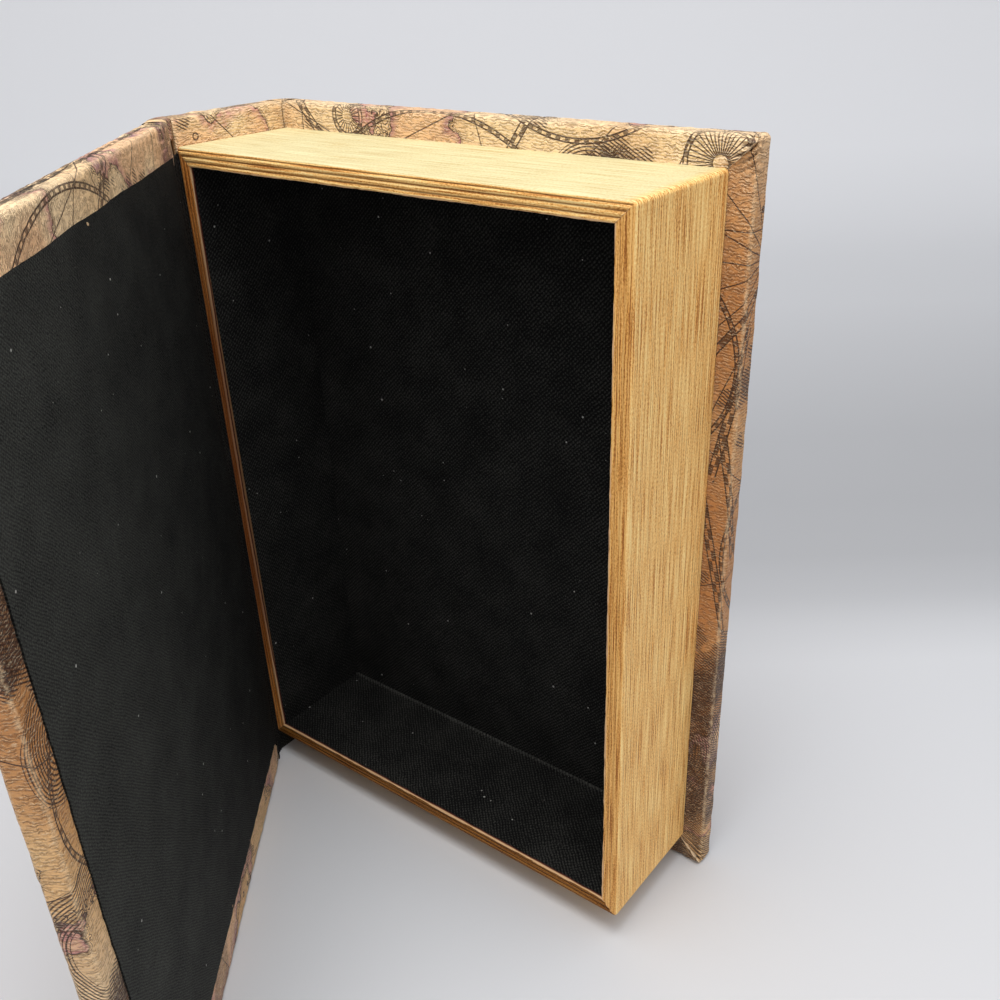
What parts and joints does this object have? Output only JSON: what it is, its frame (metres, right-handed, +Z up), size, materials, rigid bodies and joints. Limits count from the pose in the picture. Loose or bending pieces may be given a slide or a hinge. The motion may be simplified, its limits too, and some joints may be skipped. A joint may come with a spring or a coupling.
{
  "type": "book diversion safe",
  "caption": "Imitation book standing on its tail edge, with a lined hollow tray behind a front cover that opens on a soft joint.",
  "frame": {"origin": "middle of the back cover's tail edge, on the surface that the book stands on", "axes": "+Z up from tail to head, +X from the spine to the fore-edge, +Y out of the back cover"},
  "size_m": [0.172, 0.1884, 0.2367],
  "materials": {
    "tray_board": "raw fibreboard, hidden under sheet",
    "cover_board": "raw fibreboard, hidden under sheet",
    "page_edge_sheet": "satin gold-tan sheet, ribbed like page edges",
    "black_lining": "matt black woven-look sheet",
    "printed_covering": "grained tan leather-look sheet with an old-chart print"
  },
  "bodies": {
    "case": {"head_wall": "tray_board", "fore_edge_wall": "tray_board", "tail_wall": "tray_board", "spine_side_wall": "tray_board", "base_panel": "tray_board", "head_wall_lining": "black_lining", "fore_edge_wall_lining": "black_lining", "tail_wall_lining": "black_lining", "spine_side_wall_lining": "black_lining", "base_lining": "black_lining", "head_page_sheet": "page_edge_sheet", "fore_edge_page_sheet": "page_edge_sheet", "tail_page_sheet": "page_edge_sheet", "spine_side_page_sheet": "page_edge_sheet", "back_board": "cover_board", "back_printed_sheet": "printed_covering", "back_inner_lining": "black_lining", "spine_board": "cover_board", "spine_printed_sheet": "printed_covering", "spine_inner_lining": "black_lining", "back_joint_sheet": "printed_covering", "front_joint_sheet": "printed_covering", "front_joint_lining": "black_lining"},
    "front_cover": {"front_board": "cover_board", "front_printed_sheet": "printed_covering", "front_cover_lining": "black_lining"}
  },
  "joints": [
    {"name": "front_cover_hinge", "type": "hinge", "parent": "case", "child": "front_cover", "pos_m": [-0.0839, -0.05485, 0.11835], "axis": [0, 0, -1], "range_deg": [-51, 129], "deforming": ["front_joint_sheet", "front_joint_lining"]}
  ]
}
